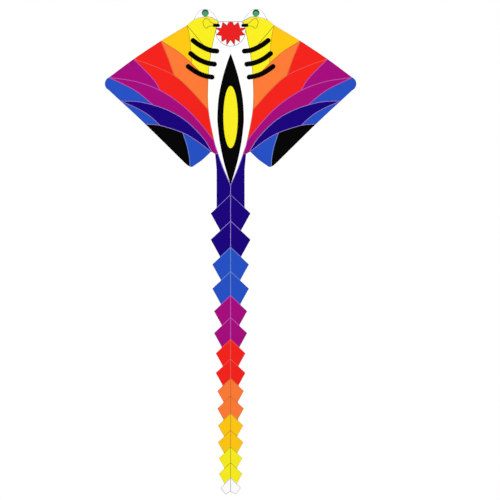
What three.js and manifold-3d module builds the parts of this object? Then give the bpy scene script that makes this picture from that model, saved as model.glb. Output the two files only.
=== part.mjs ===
// A single-line delta kite cut as a manta ray: a sail of sewn colour panels on a light rod
// frame, a towing keel with a brass eyelet behind it, and a long tail of linked panels.
//
// Millimetres, +Z up. The kite hangs in its flying attitude, its decorated face towards -Y.
// The origin is the middle of the eyelet, where the flying line is tied.
//
// Each half of the sail is drawn as a flat pattern of [out, down] points: the distance out
// from the centre line, and the distance down from the straight edge of the nose.

import * as THREE from 'three';
import { TessellateModifier } from 'three/addons/modifiers/TessellateModifier.js';
import { mergeVertices } from 'three/addons/utils/BufferGeometryUtils.js';
import loadManifold from 'manifold-3d';

const manifold = await loadManifold();
manifold.setup();

// ---------------------------------------------------------------- driving dimensions

// cloth
const CLOTH = 0.8; // a panel with its turned seams, flattened
const SEAM_GAP = 0.3; // between two panels that are sewn together
const SHARP_CORNER = 4; // the most that the gap may shorten a pointed panel
const SEAM_STEPS = 3; // straight steps from one point of a seam to the next
const CLOTH_EDGE = 150; // longest triangle edge on curved cloth
const CLOTH_PASSES = 20; // more than enough halvings for the longest panel

// where the sail stands
const KEEL_REACH = 300; // from the sail's front face back to the eyelet
const TOW_DOWN = 560; // the eyelet's level below the nose edge

// the sail's hollow shape: both wings lean forwards, and each one fills with wind
const DIHEDRAL = THREE.MathUtils.degToRad(8);
const DIHEDRAL_ROUND = 60; // the middle of the sail turns over smoothly within this
const BILLOW = 30;
const BILLOW_FROM_SPINE = 300;
const BILLOW_FROM_EDGE = 400;
const FLAT_FROM = 1000; // the hollow fades out from here down
const FLAT_BY = 1300;

// corners that several panels share
const NOSE_CORNER = [92, 0];
const DOME_CORNER = [278, -8];
const HEAD_CORNER = [327, 33];
const AMBER_CORNER = [521, 152];
const RED_CORNER = [724, 290];
const SPAR_CORNER = [907, 428.5];
const TRAILING_CORNER = [820, 605];
const BLACK_CORNER = [636, 776.5];
const TAIL_CORNER = [147, 979];
const NAVY_TIP = [138, 982];
const TAIL_SHOULDER = [116, 996];
const BODY_TIP = [0, 1231];

const TIP_CENTRE = [884, 476];
const TIP_RADIUS = 53;
const TIP_ANGLES = [-64, 62];
const FOOT_CENTRE = [294, 1066];
const FOOT_RADIUS = 27;
const FOOT_ANGLES = [68, 133];
const ARC_STEPS = 5;

// tail
const TAIL_ROOT_HALF = 105;
const TAIL_ROOT_FLARE_END = 1110;
const TAIL_NOTCH_GAP = 3; // lets the body's pointed end turn with a folding wing
const TAIL_TOP = 1300; // apex of the first tail panel
const TAIL_HALF_WIDTHS = [149, 137, 124, 111, 99, 95, 88, 77]; // two panels of each width
const TAIL_COLOURS = ['navy', 'blue', 'magenta', 'red', 'orange', 'amber', 'yellow', 'white'];
const TAIL_PANELS = 15;
const TAIL_PITCH = 1.324; // these four are shares of a panel's half width
const TAIL_SLOPE = 0.94;
const TAIL_WAIST = 0.52;
const TAIL_END_SLOPE = 0.5;

// rods and their fittings
const ROD_SIDES = 12;
const FIT = 0.3; // clearance of a rod in its fitting
const SPINE_RADIUS = 4;
const SPINE_BACK = 6.5; // rod centre behind the sail's front face
const SPINE_TOP = 14;
const SPINE_JOINT = 620;
const SPINE_END = 1214;
const FERRULE_RADIUS = 5.3;
const FERRULE_LENGTH = 80;
const SPAR_RADIUS = 2.5;
const SPAR_BACK = 5;
const SPAR_INSET = [-5, 7.5]; // from the leading edge to the middle of its sleeve
const SPAR_START = [215, -38];
const SPAR_STEPS = 12;
const CAP_WALL = 0.8;
const CAP_LENGTH = 22;
const CAP_END = 3;
const SPREADER_RADIUS = 3;
const CLIP_AT = 0.955; // share of the spar's length
const CLIP_RADIUS = 5.3;
const CLIP_LENGTH = 18;
const CLIP_JAW = THREE.MathUtils.degToRad(50); // half the angle of its open mouth
const CLIP_STANDOFF = 13; // spreader axis behind the spar axis
const SOCKET_RADIUS = 5;
const SOCKET_LENGTH = 18;
const SOCKET_DEPTH = 13;
const PIVOT_OUT = 20;
const PIVOT_BACK = 18.4; // spreader axis behind the sail's front face, at its pivot
const PIN_RADIUS = 2.4;
const PIN_HEAD_RADIUS = 4.2;
const HUB_RADIUS = 7.5;
const HUB_LENGTH = 7.3;
const LUG = { inner: -16, outer: 9, front: -7.1, back: -4.1, half: 9 };
const SADDLE = { half: 8, front: 3, back: 14, height: 30 };

// keel
const KEEL_TOP = 260;
const KEEL_FOOT = 905;
const KEEL_INNER = 12.5;
const KEEL_TIP_RADIUS = 17;
const KEEL_SLOT = { half: 26, back: 42 }; // lets the spreader and its fitting through
const EYELET = { bore: 5, barrel: 6.3, flange: 10, inside: 0.8, outside: 1.6 };
const EYELET_SIDES = 24;
const EYELET_HOLE = 6.8;

const COLOURS = {
  yellow: 0xfaf01e,
  amber: 0xfec712,
  orange: 0xfb7c37,
  red: 0xf4231b,
  magenta: 0xa80b7f,
  blue: 0x2651c3,
  navy: 0x1b027c,
  black: 0x0a090c,
  white: 0xf7f7f4,
};

// ---------------------------------------------------------------- materials and meshes

const kite = new THREE.Group();

function clothMaterial(colour) {
  return new THREE.MeshStandardMaterial({ color: COLOURS[colour], roughness: 0.6, metalness: 0 });
}

function fibreglassMaterial() {
  return new THREE.MeshStandardMaterial({ color: 0x1c1c1e, roughness: 0.35, metalness: 0 });
}

function mouldedMaterial() {
  return new THREE.MeshStandardMaterial({ color: 0x26262a, roughness: 0.55, metalness: 0 });
}

function brassMaterial() {
  return new THREE.MeshStandardMaterial({ color: 0xc9a24b, roughness: 0.3, metalness: 1 });
}

function addMesh(parent, name, geometry, material) {
  const mesh = new THREE.Mesh(geometry, material);
  mesh.name = name;
  parent.add(mesh);
}

// ---------------------------------------------------------------- solids

function toSolid(geometry) {
  const bare = geometry.clone();
  bare.deleteAttribute('normal');
  bare.deleteAttribute('uv');
  const merged = mergeVertices(bare);
  return new manifold.Manifold(new manifold.Mesh({
    numProp: 3,
    vertProperties: merged.attributes.position.array,
    triVerts: new Uint32Array(merged.index.array),
  }));
}

function toGeometry(solid) {
  const mesh = solid.getMesh();
  const geometry = new THREE.BufferGeometry();
  geometry.setAttribute('position', new THREE.BufferAttribute(mesh.vertProperties, 3));
  geometry.setIndex(new THREE.BufferAttribute(mesh.triVerts, 1));
  return geometry;
}

// A round bar from one point to another.
function bar(from, to, radius, sides = ROD_SIDES) {
  const along = to.clone().sub(from);
  const geometry = new THREE.CylinderGeometry(radius, radius, along.length(), sides);
  const turn = new THREE.Quaternion().setFromUnitVectors(
    new THREE.Vector3(0, 1, 0),
    along.clone().normalize(),
  );
  geometry.applyQuaternion(turn);
  const middle = from.clone().lerp(to, 0.5);
  return geometry.translate(middle.x, middle.y, middle.z);
}

// A round cup that goes over the end of a rod. It points along the direction of the rod.
function endCap(end, direction, rodRadius) {
  const inner = rodRadius + FIT;
  const outer = inner + CAP_WALL;
  const back = direction.clone().multiplyScalar(-CAP_LENGTH + CAP_END);
  const front = direction.clone().multiplyScalar(CAP_END);
  const clear = direction.clone().multiplyScalar(FIT);
  const cup = toSolid(bar(end.clone().add(back), end.clone().add(front), outer));
  const bore = bar(end.clone().add(back).add(back), end.clone().add(clear), inner);
  return toGeometry(cup.subtract(toSolid(bore)));
}

function block(low, high) {
  const size = high.map((value, axis) => value - low[axis]);
  const middle = high.map((value, axis) => (value + low[axis]) / 2);
  return new THREE.BoxGeometry(...size).translate(...middle);
}

// ---------------------------------------------------------------- the sail's surface

// The front face of the cloth at a place on the pattern, as a Y coordinate.
function sailFront(out, down) {
  const lean = (Math.hypot(out, DIHEDRAL_ROUND) - DIHEDRAL_ROUND) * Math.tan(DIHEDRAL);
  const sweep = Math.atan2(SPAR_CORNER[1] - HEAD_CORNER[1], SPAR_CORNER[0] - HEAD_CORNER[0]);
  const edgeDown = HEAD_CORNER[1] + (Math.abs(out) - HEAD_CORNER[0]) * Math.tan(sweep);
  const fromEdge = (down - edgeDown) * Math.cos(sweep);
  const fill = THREE.MathUtils.smoothstep(Math.abs(out), 0, BILLOW_FROM_SPINE)
    * THREE.MathUtils.smoothstep(fromEdge, 0, BILLOW_FROM_EDGE);
  const fade = 1 - THREE.MathUtils.smoothstep(down, FLAT_FROM, FLAT_BY);
  return -KEEL_REACH - (lean + BILLOW * fill) * fade;
}

// A point behind the sail, at a place on the pattern.
function behindSail([out, down], back) {
  return new THREE.Vector3(out, sailFront(out, down) + back, TOW_DOWN - down);
}

// ---------------------------------------------------------------- seams

// A smooth line through its points. Point number i is the line's vertex i * SEAM_STEPS.
function seam(...points) {
  const curve = new THREE.SplineCurve(points.map(([out, down]) => new THREE.Vector2(out, down)));
  return curve.getPoints((points.length - 1) * SEAM_STEPS);
}

// The part of a seam between two of its points, in the order asked for.
function stretch(line, from, to) {
  const low = Math.min(from, to) * SEAM_STEPS;
  const high = Math.max(from, to) * SEAM_STEPS;
  const piece = line.slice(low, high + 1);
  return from < to ? piece : piece.reverse();
}

function arc([out, down], radius, [fromDegrees, toDegrees]) {
  const curve = new THREE.EllipseCurve(
    out, down, radius, radius,
    THREE.MathUtils.degToRad(fromDegrees), THREE.MathUtils.degToRad(toDegrees),
  );
  return curve.getPoints(ARC_STEPS);
}

const leadingEdge = seam(HEAD_CORNER, AMBER_CORNER, RED_CORNER, SPAR_CORNER);
const tipArc = arc(TIP_CENTRE, TIP_RADIUS, TIP_ANGLES);
const blueFoot = arc(FOOT_CENTRE, FOOT_RADIUS, FOOT_ANGLES);
const blackFoot = seam([346, 1061], [320, 1083], blueFoot[0].toArray());
const trailingEdge = seam(
  tipArc.at(-1).toArray(), TRAILING_CORNER, BLACK_CORNER, blackFoot[0].toArray(),
);
const footEdge = seam(blueFoot.at(-1).toArray(), [211, 1040], TAIL_CORNER);
const headTop = seam(NOSE_CORNER, [150, -30.5], [211, -30], DOME_CORNER, HEAD_CORNER);
const domeTop = seam(NOSE_CORNER, [120, -47], [157, -83], [200, -90], [241, -71], DOME_CORNER);

// the side of the white body, from the nose to the tip that lies on the tail
const bodySeam = seam(
  NOSE_CORNER, [110.5, 61], [149, 249], [169.5, 444], [168, 663], [125.5, 893], [96, 990],
  [59, 1094], BODY_TIP,
);
const tailShoulder = seam([96, 990], TAIL_SHOULDER);

// the seams that fan out from the corners of the leading and trailing edges
const amberSeam = seam(HEAD_CORNER, [306.5, 130], [291, 321]);
const orangeTop = seam(AMBER_CORNER, [396, 229.5], [291, 321], [169.5, 444]);
const redOuterSide = seam(AMBER_CORNER, [467, 278], [420, 412]);
const redTop = seam(RED_CORNER, [590, 334.5], [420, 412], [301, 515], [168, 663]);
const magentaOuterSide = seam(RED_CORNER, [610, 404], [562.5, 460.5], [528.5, 523]);
const magentaTop = seam(SPAR_CORNER, [709, 458], [528.5, 523], [364, 631.5], [243, 750], [125.5, 893]);
const blueTipSide = seam(SPAR_CORNER, [715, 523], [575.5, 634]);
const navyTop = seam(
  TRAILING_CORNER, [700, 608], [575.5, 634], [451, 680], [329.5, 753.5], [209, 873.5], NAVY_TIP,
);
const navySide = seam(TRAILING_CORNER, [695.5, 659], [604, 714.5], [526, 785.5]);
const navyFoot = seam(BLACK_CORNER, [526, 785.5], [357.5, 839], [245, 904], TAIL_CORNER);
const blackSide = seam([357.5, 839], [325, 937.5], [307, 1029.5], blueFoot[0].toArray());

// ---------------------------------------------------------------- cloth

// Joins stretches of seams end to end, leaving out the points that they share.
function outlineOf(...stretches) {
  const points = stretches.flat();
  return points.filter((point, i) => point.distanceTo(points.at(i - 1)) > SEAM_GAP);
}

// The other half of an outline that starts and ends on the centre line is its mirror image.
function bothHalves(half) {
  const mirrored = half.map((point) => new THREE.Vector2(-point.x, point.y)).reverse();
  return outlineOf(half, mirrored);
}

// Moves the sides of a closed outline inwards.
function inset(outline, distance) {
  const turn = Math.sign(THREE.ShapeUtils.area(outline));
  return outline.map((corner, i) => {
    const into = corner.clone().sub(outline.at(i - 1)).normalize();
    const away = outline[(i + 1) % outline.length].clone().sub(corner).normalize();
    const inward = new THREE.Vector2(-into.y - away.y, into.x + away.x).multiplyScalar(turn);
    const reach = Math.min(2 * distance / inward.length(), SHARP_CORNER);
    return inward.setLength(reach).add(corner);
  });
}

// A plate of cloth, cut to an outline on the pattern and laid on the sail's surface.
function clothGeometry(outline) {
  const flat = inset(outline, SEAM_GAP / 2).map(({ x, y }) => new THREE.Vector2(x, TOW_DOWN - y));
  const plate = new THREE.ExtrudeGeometry(new THREE.Shape(flat), {
    depth: CLOTH,
    bevelEnabled: false,
  });
  const fine = new TessellateModifier(CLOTH_EDGE, CLOTH_PASSES).modify(plate);
  const position = fine.attributes.position;
  for (let i = 0; i < position.count; i += 1) {
    const up = position.getY(i);
    const back = CLOTH - position.getZ(i);
    const out = position.getX(i);
    position.setXYZ(i, out, sailFront(out, TOW_DOWN - up) + back, up);
  }
  return fine;
}

const WING_PANELS = [
  ['eye_dome', 'white', domeTop, stretch(headTop, 3, 0)],
  ['head_panel', 'yellow', headTop, amberSeam, stretch(orangeTop, 2, 3), stretch(bodySeam, 3, 0)],
  ['amber_panel', 'amber', stretch(leadingEdge, 0, 1), stretch(orangeTop, 0, 2),
    stretch(amberSeam, 2, 0)],
  ['orange_panel', 'orange', redOuterSide, stretch(redTop, 2, 4), stretch(bodySeam, 4, 3),
    stretch(orangeTop, 3, 0)],
  ['red_outer_panel', 'red', stretch(leadingEdge, 1, 2), stretch(redTop, 0, 2),
    stretch(redOuterSide, 2, 0)],
  ['red_band', 'red', magentaOuterSide, stretch(magentaTop, 2, 5), stretch(bodySeam, 5, 4),
    stretch(redTop, 4, 0)],
  ['magenta_outer_panel', 'magenta', stretch(leadingEdge, 2, 3), stretch(magentaTop, 0, 2),
    stretch(magentaOuterSide, 3, 0)],
  ['magenta_band', 'magenta', blueTipSide, stretch(navyTop, 2, 6), stretch(tailShoulder, 1, 0),
    stretch(bodySeam, 6, 5), stretch(magentaTop, 5, 0)],
  ['blue_tip_panel', 'blue', tipArc, stretch(trailingEdge, 0, 1), stretch(navyTop, 0, 2),
    stretch(blueTipSide, 2, 0)],
  ['navy_band', 'navy', navySide, stretch(navyFoot, 1, 4), stretch(navyTop, 6, 0)],
  ['blue_middle_panel', 'blue', stretch(trailingEdge, 1, 2), stretch(navyFoot, 0, 1),
    stretch(navySide, 3, 0)],
  ['black_panel', 'black', stretch(trailingEdge, 2, 3), blackFoot, stretch(blackSide, 3, 0),
    stretch(navyFoot, 2, 0)],
  ['blue_corner_panel', 'blue', blackSide, blueFoot, footEdge, stretch(navyFoot, 4, 2)],
  ['body_panel', 'white', seam([0, 0], NOSE_CORNER), bodySeam],
];

function addWingCloth(wing, side) {
  for (const [name, colour, ...stretches] of WING_PANELS) {
    addMesh(wing, `${side}_${name}`, clothGeometry(outlineOf(...stretches)), clothMaterial(colour));
  }
}

// ---------------------------------------------------------------- tail

// The body's pointed end fills the notch in the top of the tail's first piece.
function tailRootOutline() {
  const foot = TAIL_TOP + TAIL_SLOPE * TAIL_ROOT_HALF;
  const notch = stretch(bodySeam, 8, 6).map(
    (point) => new THREE.Vector2(point.x, point.y + TAIL_NOTCH_GAP),
  );
  return bothHalves(outlineOf(
    notch,
    tailShoulder,
    seam([TAIL_ROOT_HALF, TAIL_ROOT_FLARE_END], [TAIL_ROOT_HALF, foot]),
    seam([TAIL_ROOT_HALF, foot], [0, TAIL_TOP]),
  ));
}

// An arrowhead with its apex up. The next panel's apex cuts a notch into its foot.
function tailOutline(apex, half, footSlope) {
  const waist = TAIL_WAIST * half;
  const next = apex + TAIL_PITCH * half;
  return bothHalves([
    new THREE.Vector2(0, apex),
    new THREE.Vector2(half, apex + TAIL_SLOPE * half),
    new THREE.Vector2(waist, next + footSlope * waist),
    new THREE.Vector2(0, next),
  ]);
}

function addTail() {
  addMesh(kite, 'tail_root', clothGeometry(tailRootOutline()), clothMaterial('navy'));
  let apex = TAIL_TOP;
  for (let number = 1; number <= TAIL_PANELS; number += 1) {
    const pair = Math.floor((number - 1) / 2);
    const half = TAIL_HALF_WIDTHS[pair];
    const footSlope = number < TAIL_PANELS ? TAIL_SLOPE : TAIL_END_SLOPE;
    const name = `tail_panel_${String(number).padStart(2, '0')}`;
    const outline = tailOutline(apex, half, footSlope);
    addMesh(kite, name, clothGeometry(outline), clothMaterial(TAIL_COLOURS[pair]));
    apex += TAIL_PITCH * half;
  }
}

// ---------------------------------------------------------------- spine

function addSpine() {
  const at = (down) => new THREE.Vector3(0, -KEEL_REACH + SPINE_BACK, TOW_DOWN - down);
  const up = new THREE.Vector3(0, 0, 1);
  const half = FERRULE_LENGTH / 2;
  const sleeve = toSolid(bar(at(SPINE_JOINT + half), at(SPINE_JOINT - half), FERRULE_RADIUS));
  const bore = toSolid(bar(at(SPINE_JOINT + FERRULE_LENGTH), at(SPINE_JOINT - FERRULE_LENGTH),
    SPINE_RADIUS + FIT));
  addMesh(kite, 'spine_upper_rod', bar(at(SPINE_JOINT - FIT), at(SPINE_TOP), SPINE_RADIUS),
    fibreglassMaterial());
  addMesh(kite, 'spine_lower_rod', bar(at(SPINE_END), at(SPINE_JOINT + FIT), SPINE_RADIUS),
    fibreglassMaterial());
  addMesh(kite, 'spine_ferrule', toGeometry(sleeve.subtract(bore)), brassMaterial());
  addMesh(kite, 'nose_cap', endCap(at(SPINE_TOP), up, SPINE_RADIUS), mouldedMaterial());
  addMesh(kite, 'tail_cap', endCap(at(SPINE_END), up.clone().negate(), SPINE_RADIUS),
    mouldedMaterial());
}

// ---------------------------------------------------------------- leading-edge spar

const sparCurve = new THREE.CatmullRomCurve3([
  SPAR_START, HEAD_CORNER, AMBER_CORNER, RED_CORNER, SPAR_CORNER,
].map(([out, down]) => behindSail([out + SPAR_INSET[0], down + SPAR_INSET[1]], SPAR_BACK)));

function addSpar(wing, side) {
  const section = new THREE.Shape().absarc(0, 0, SPAR_RADIUS, 0, 2 * Math.PI);
  const rod = new THREE.ExtrudeGeometry(section, {
    steps: SPAR_STEPS,
    curveSegments: ROD_SIDES / 2,
    extrudePath: sparCurve,
  });
  addMesh(wing, `${side}_spar`, rod, fibreglassMaterial());
  const cap = endCap(sparCurve.getPointAt(1), sparCurve.getTangentAt(1), SPAR_RADIUS);
  addMesh(wing, `${side}_spar_tip_cap`, cap, mouldedMaterial());
}

// ---------------------------------------------------------------- spreader

// Both ends of the right spreader's axis. It stays level, and leans forwards with its wing.
const clipPoint = sparCurve.getPointAt(CLIP_AT);
const spreaderEnd = clipPoint.clone().add(new THREE.Vector3(0, CLIP_STANDOFF, 0));
const spreaderPivot = new THREE.Vector3(PIVOT_OUT, -KEEL_REACH + PIVOT_BACK, clipPoint.z);
const spreaderDirection = spreaderEnd.clone().sub(spreaderPivot).normalize();

// X runs out along the spreader, Y is its pivot pin's axis, and the origin is the pivot.
function pivotFrame() {
  const up = new THREE.Vector3(0, 0, 1);
  const back = up.clone().cross(spreaderDirection);
  return new THREE.Matrix4().makeBasis(spreaderDirection, back, up).setPosition(spreaderPivot);
}

function onPin(from, to, radius) {
  return bar(new THREE.Vector3(0, from, 0), new THREE.Vector3(0, to, 0), radius)
    .applyMatrix4(pivotFrame());
}

function spreaderGeometry() {
  const half = HUB_LENGTH / 2;
  const end = spreaderEnd.clone().addScaledVector(
    spreaderDirection, SOCKET_DEPTH - SOCKET_LENGTH / 2 - FIT,
  );
  const rod = toSolid(bar(spreaderPivot, end, SPREADER_RADIUS));
  const hub = toSolid(onPin(-half, half, HUB_RADIUS));
  const bore = toSolid(onPin(-HUB_LENGTH, HUB_LENGTH, PIN_RADIUS + FIT));
  return toGeometry(rod.add(hub).subtract(bore));
}

// A spring clip: open jaws that snap on the spar, and a blind socket for the spreader.
function clipGeometry() {
  const along = sparCurve.getTangentAt(CLIP_AT);
  const across = new THREE.Vector3(0, 1, 0).cross(along).normalize();
  const back = along.clone().cross(across);
  const frame = new THREE.Matrix4().makeBasis(across, back, along).setPosition(clipPoint);
  const start = CLIP_JAW - Math.PI / 2;
  const end = Math.PI * 1.5 - CLIP_JAW;
  const jaws = new THREE.Shape();
  jaws.absarc(0, 0, CLIP_RADIUS, start, end);
  jaws.absarc(0, 0, SPAR_RADIUS + FIT, end, start, true);
  const clip = new THREE.ExtrudeGeometry(jaws, {
    depth: CLIP_LENGTH,
    bevelEnabled: false,
    curveSegments: ROD_SIDES,
  }).translate(0, 0, -CLIP_LENGTH / 2).applyMatrix4(frame);
  const webFront = CLIP_RADIUS - FIT * 2;
  const webBack = CLIP_STANDOFF - SPREADER_RADIUS - FIT * 2;
  const web = block([-3, webFront, -7], [3, webBack, 7]).applyMatrix4(frame);
  const inner = spreaderEnd.clone().addScaledVector(spreaderDirection, -SOCKET_LENGTH / 2);
  const outer = spreaderEnd.clone().addScaledVector(spreaderDirection, SOCKET_LENGTH / 2);
  const floor = inner.clone().addScaledVector(spreaderDirection, SOCKET_DEPTH);
  const mouth = inner.clone().addScaledVector(spreaderDirection, -SOCKET_LENGTH);
  return toGeometry(
    toSolid(clip)
      .add(toSolid(web))
      .add(toSolid(bar(inner, outer, SOCKET_RADIUS)))
      .subtract(toSolid(bar(mouth, floor, SPREADER_RADIUS + FIT))),
  );
}

// A saddle that snaps on the spine from behind, with a leaning lug and pin for each spreader.
function centreFittingGeometry() {
  const spine = -KEEL_REACH + SPINE_BACK;
  const { half, front, back, height } = SADDLE;
  const low = spreaderPivot.z - height / 2;
  const high = spreaderPivot.z + height / 2;
  const saddle = toSolid(block([-half, front - KEEL_REACH, low], [half, back - KEEL_REACH, high]));
  const groove = toSolid(bar(
    new THREE.Vector3(0, spine, low - height),
    new THREE.Vector3(0, spine, high + height),
    SPINE_RADIUS + FIT,
  ));
  const plate = block([LUG.inner, LUG.front, -LUG.half], [LUG.outer, LUG.back, LUG.half]);
  const pinHead = HUB_LENGTH / 2 + FIT;
  const lug = toSolid(plate.applyMatrix4(pivotFrame()))
    .add(toSolid(onPin(LUG.front, pinHead + FIT, PIN_RADIUS)))
    .add(toSolid(onPin(pinHead, pinHead + PIN_RADIUS / 2, PIN_HEAD_RADIUS)));
  return toGeometry(saddle.add(lug).add(lug.mirror([1, 0, 0])).subtract(groove));
}

function addSpreader(wing, side) {
  addMesh(wing, `${side}_spreader`, spreaderGeometry(), fibreglassMaterial());
  addMesh(wing, `${side}_spreader_clip`, clipGeometry(), mouldedMaterial());
}

// ---------------------------------------------------------------- keel

// The keel is drawn with [back, up] points, back from the sail and up from the eyelet.
function keelGeometry() {
  const inner = KEEL_INNER - KEEL_REACH;
  const top = TOW_DOWN - KEEL_TOP;
  const foot = TOW_DOWN - KEEL_FOOT;
  const slot = KEEL_SLOT.back - KEEL_REACH;
  const level = spreaderPivot.z;
  const upperLean = Math.atan2(-inner, top);
  const lowerLean = Math.atan2(-inner, -foot);
  const shape = new THREE.Shape();
  shape.moveTo(inner, level - KEEL_SLOT.half);
  shape.lineTo(inner, foot);
  shape.absarc(0, 0, KEEL_TIP_RADIUS, lowerLean - Math.PI / 2, Math.PI / 2 - upperLean);
  shape.lineTo(inner, top);
  shape.lineTo(inner, level + KEEL_SLOT.half);
  shape.lineTo(slot, level + KEEL_SLOT.half);
  shape.lineTo(slot, level - KEEL_SLOT.half);
  shape.holes.push(new THREE.Path().absarc(0, 0, EYELET_HOLE, 0, 2 * Math.PI));
  const geometry = new THREE.ExtrudeGeometry(shape, {
    depth: CLOTH,
    bevelEnabled: false,
    curveSegments: ROD_SIDES,
  }).translate(0, 0, -CLOTH / 2);
  const back = new THREE.Vector3(0, 1, 0);
  const up = new THREE.Vector3(0, 0, 1);
  return geometry.applyMatrix4(new THREE.Matrix4().makeBasis(back, up, back.clone().cross(up)));
}

// Two flanges with the keel's cloth between them, on one barrel.
function eyeletGeometry() {
  const { bore, barrel, flange, inside, outside } = EYELET;
  const profile = [
    [bore, -outside], [flange, -outside], [flange, -inside], [barrel, -inside],
    [barrel, inside], [flange, inside], [flange, outside], [bore, outside], [bore, -outside],
  ];
  const points = profile.map(([radius, along]) => new THREE.Vector2(radius, along));
  return new THREE.LatheGeometry(points, EYELET_SIDES).rotateZ(-Math.PI / 2);
}

function addKeel() {
  addMesh(kite, 'keel', keelGeometry(), clothMaterial('navy'));
  addMesh(kite, 'tow_eyelet', eyeletGeometry(), brassMaterial());
}

// ---------------------------------------------------------------- the kite

// Each wing is built as the right one. The left one is its mirror image.
for (const [side, mirror] of [['left', -1], ['right', 1]]) {
  const wing = new THREE.Group();
  wing.scale.x = mirror;
  addWingCloth(wing, side);
  addSpar(wing, side);
  addSpreader(wing, side);
  kite.add(wing);
}
addSpine();
addMesh(kite, 'centre_fitting', centreFittingGeometry(), mouldedMaterial());
addKeel();
addTail();

export default kite;
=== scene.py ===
"""Looks for the manta delta kite: sewn ripstop, sleeves, rods and tail, built round the CAD frame.

Metres, +Z up, the decorated face towards -Y. Cloth is cut from a flat pattern of (out, down)
points: the distance out from the centre line, and down from the straight edge of the nose.
Each wing is made as the right one, and the left one is its mirror image.
"""

import math
from collections import Counter

import bmesh
import bpy
import numpy as np
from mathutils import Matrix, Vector, geometry, noise


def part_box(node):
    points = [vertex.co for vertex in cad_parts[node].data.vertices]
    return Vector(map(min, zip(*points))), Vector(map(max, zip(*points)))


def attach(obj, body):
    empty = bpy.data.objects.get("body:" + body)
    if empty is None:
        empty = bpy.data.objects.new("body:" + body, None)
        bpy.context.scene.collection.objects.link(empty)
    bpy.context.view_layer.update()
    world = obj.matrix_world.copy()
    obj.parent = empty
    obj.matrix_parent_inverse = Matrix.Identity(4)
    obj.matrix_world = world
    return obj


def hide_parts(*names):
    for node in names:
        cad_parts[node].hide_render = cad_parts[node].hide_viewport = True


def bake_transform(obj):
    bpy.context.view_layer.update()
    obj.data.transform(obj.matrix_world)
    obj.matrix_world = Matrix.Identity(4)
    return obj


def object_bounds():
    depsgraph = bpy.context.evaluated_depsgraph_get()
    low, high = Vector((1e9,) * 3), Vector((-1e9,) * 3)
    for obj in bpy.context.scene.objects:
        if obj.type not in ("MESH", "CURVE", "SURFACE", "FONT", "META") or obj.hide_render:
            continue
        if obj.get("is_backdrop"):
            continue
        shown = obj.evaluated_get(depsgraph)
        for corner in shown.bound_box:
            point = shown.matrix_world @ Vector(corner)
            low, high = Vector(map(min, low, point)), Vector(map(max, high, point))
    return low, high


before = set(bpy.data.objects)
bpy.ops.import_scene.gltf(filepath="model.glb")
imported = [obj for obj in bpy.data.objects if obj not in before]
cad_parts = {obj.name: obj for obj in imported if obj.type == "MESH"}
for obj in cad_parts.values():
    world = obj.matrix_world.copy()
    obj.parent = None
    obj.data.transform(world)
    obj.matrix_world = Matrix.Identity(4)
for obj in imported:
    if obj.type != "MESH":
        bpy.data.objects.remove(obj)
CAD_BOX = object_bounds()

# ---------------------------------------------------------------- driving dimensions

NOSE_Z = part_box("left_body_panel")[1].z
SAIL_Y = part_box("tail_panel_05")[0].y

# the sail's hollow shape, as in the CAD
DIHEDRAL = math.radians(8)
DIHEDRAL_ROUND = 0.060
BILLOW = 0.030
BILLOW_FROM_SPINE = 0.300
BILLOW_FROM_EDGE = 0.400
FLAT_FROM = 1.000
FLAT_BY = 1.300

# cloth
CLOTH = 0.0004
LAYER = 0.0005  # from one layer of applied cloth to the next
STEP = 0.009  # between two points of a cut edge
ARC_STEP = 0.003
GRID = 0.012  # between two points inside a panel
FINE_GRID = 0.75 * GRID
PATCH_GRID = 0.6 * GRID
WELD = 0.0004
ONLY_INSIDE = 1  # delaunay_2d_cdt's output type for the triangles inside the border
SAME_PLACE = 1e-7
TURN_STEP = 2  # degrees between two rectangles tried round an outline
CLEAR_OF_EDGE = 0.55  # how near a grid point may be to a cut edge, as a share of the spacing
RIPPLE_HEIGHT = 0.0022
RIPPLE_LENGTH = 0.34
RIPPLE_WIDTH = 0.075
RIPPLE_TURN = math.radians(60)  # the ripples run from the leading edge to the tail
RIPPLE_FADE = 0.15

# seams
SEAM_WIDTH = 0.0062
HEM_WIDTH = 0.0050
DRAWN_WIDTH = 0.0050
STAR_LINE_WIDTH = 0.7 * DRAWN_WIDTH
TAIL_SEAM_WIDTH = 0.0072
SEAM_CROWN = 0.0004
RIBBON_SECTION = (  # share of the half width, and how far it stands off the cloth
    (-1.0, 0.0), (-0.62, 0.75), (0.0, 1.0), (0.62, 0.75), (1.0, 0.0),
)
CENTRE_GAP = 0.0005  # keeps the nose's lines clear of the centre, where the halves meet

# the look of the cloth and the thread
CLOTH_GLOSS = 0.025
RIPSTOP_PITCH = 0.005
RIPSTOP_THREAD = 0.0006
WEAVE_PITCH = 0.0007
BLOTCH_SCALE = 9.0
BLOTCH_SHARE = 0.5  # how far the blotches, and then the grid, turn a cloth towards its dark shade
GRID_SHARE = 0.35
DARK_CLOTH = 0.88  # the dark shade of a cloth, as a share of its colour
WEAVE_HEIGHT = 0.25  # the weave and the creases, as shares of the grid's height
CREASE_HEIGHT = 2.5
CREASE_SCALE = 38.0
CLOTH_BUMP = 0.00012
STITCH_BUMP = 0.0003
STITCH_PITCH = 0.0036
STITCH_SHARE = 0.42  # how much of a seam's half width the thread covers
DRAWN_SHARE = 0.66
STITCH_EDGE = 0.1
STITCH_SWING = 0.38  # how far to each side the zigzag goes
TWIST_SCALE = 900.0
DARK_YARN = 0.7
STREAK_SCALE = (900.0, 14.0, 1.0)  # round a rod and along it
WORN_RANGE = (0.3, 0.7)  # the part of a noise that changes how rough a worn surface is

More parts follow.
